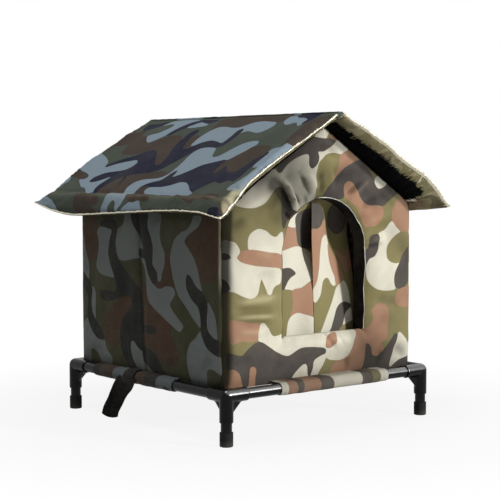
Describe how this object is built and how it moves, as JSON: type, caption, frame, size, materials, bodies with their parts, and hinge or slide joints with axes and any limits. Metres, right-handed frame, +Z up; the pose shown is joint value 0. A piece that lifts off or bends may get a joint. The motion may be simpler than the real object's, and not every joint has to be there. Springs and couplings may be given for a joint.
{
  "type": "pet house",
  "caption": "Free-standing pet house: padded cloth cabin with an arched doorway, hanging door flaps and a lift-off gable roof, carried on a tube frame with short legs.",
  "frame": {"origin": "on the floor, under the middle of the roof", "axes": "+Z up, +Y from the doorway to the back, +X to the right as seen from the doorway's front"},
  "size_m": [0.4612, 0.474, 0.469],
  "materials": {
    "tube": "satin powder coat",
    "fitting": "gloss",
    "foot": "matt",
    "cloth": "woven camouflage",
    "foam": "matt foam",
    "foil": "crinkled foil",
    "tape": "woven tape",
    "grip": "hook and loop",
    "webbing": "ribbed webbing"
  },
  "bodies": {
    "house": {"corner_front_left": "fitting", "leg_front_left": "tube", "foot_front_left": "foot", "corner_front_right": "fitting", "leg_front_right": "tube", "foot_front_right": "foot", "corner_rear_left": "fitting", "leg_rear_left": "tube", "foot_rear_left": "foot", "corner_rear_right": "fitting", "leg_rear_right": "tube", "foot_rear_right": "foot", "rail_front": "tube", "sleeve_front": "cloth", "front_cover": "cloth", "front_board": "foam", "front_lining": "foil", "rail_rear": "tube", "sleeve_rear": "cloth", "rear_cover": "cloth", "rear_board": "foam", "rear_lining": "foil", "rail_left": "tube", "sleeve_left": "cloth", "left_cover": "cloth", "left_boards": "foam", "left_lining": "foil", "rail_right": "tube", "sleeve_right": "cloth", "right_cover": "cloth", "right_boards": "foam", "right_lining": "foil", "floor_cloth": "cloth", "floor_board": "foam", "floor_lining": "foil", "door_binding": "tape", "flap_header": "cloth", "loop_tape_front": "grip", "loop_tape_rear": "grip", "strap_root": "webbing"},
    "roof_ridge": {"ridge_fold": "cloth"},
    "roof_left": {"roof_left_cover": "cloth", "roof_left_board": "foam", "roof_left_lining": "foil", "hook_tape_left_front": "grip", "hook_tape_left_rear": "grip"},
    "roof_right": {"roof_right_cover": "cloth", "roof_right_board": "foam", "roof_right_lining": "foil", "hook_tape_right_front": "grip", "hook_tape_right_rear": "grip"},
    "flap_left": {"flap_left": "cloth"},
    "flap_right": {"flap_right": "cloth"},
    "strap": {"strap_tail": "webbing"}
  },
  "joints": [
    {"name": "roof_lift", "type": "slide", "parent": "house", "child": "roof_ridge", "axis": [0, 0, 1], "range_m": [0, 0.25]},
    {"name": "roof_left_swing", "type": "hinge", "parent": "roof_ridge", "child": "roof_left", "pos_m": [0, 0, 0.46755], "axis": [0, 1, 0], "range_deg": [0, 100]},
    {"name": "roof_right_swing", "type": "hinge", "parent": "roof_ridge", "child": "roof_right", "pos_m": [0, 0, 0.46755], "axis": [0, -1, 0], "range_deg": [0, 100]},
    {"name": "flap_left_swing", "type": "hinge", "parent": "house", "child": "flap_left", "pos_m": [0.0045, -0.17785, 0.35035], "axis": [1, 0, 0], "range_deg": [0, 75]},
    {"name": "flap_right_swing", "type": "hinge", "parent": "house", "child": "flap_right", "pos_m": [0.0045, -0.17785, 0.35035], "axis": [1, 0, 0], "range_deg": [0, 75]},
    {"name": "strap_swing", "type": "hinge", "parent": "house", "child": "strap", "pos_m": [-0.2054, 0.007, 0.071], "axis": [0, 1, 0], "range_deg": [0, 70]}
  ]
}
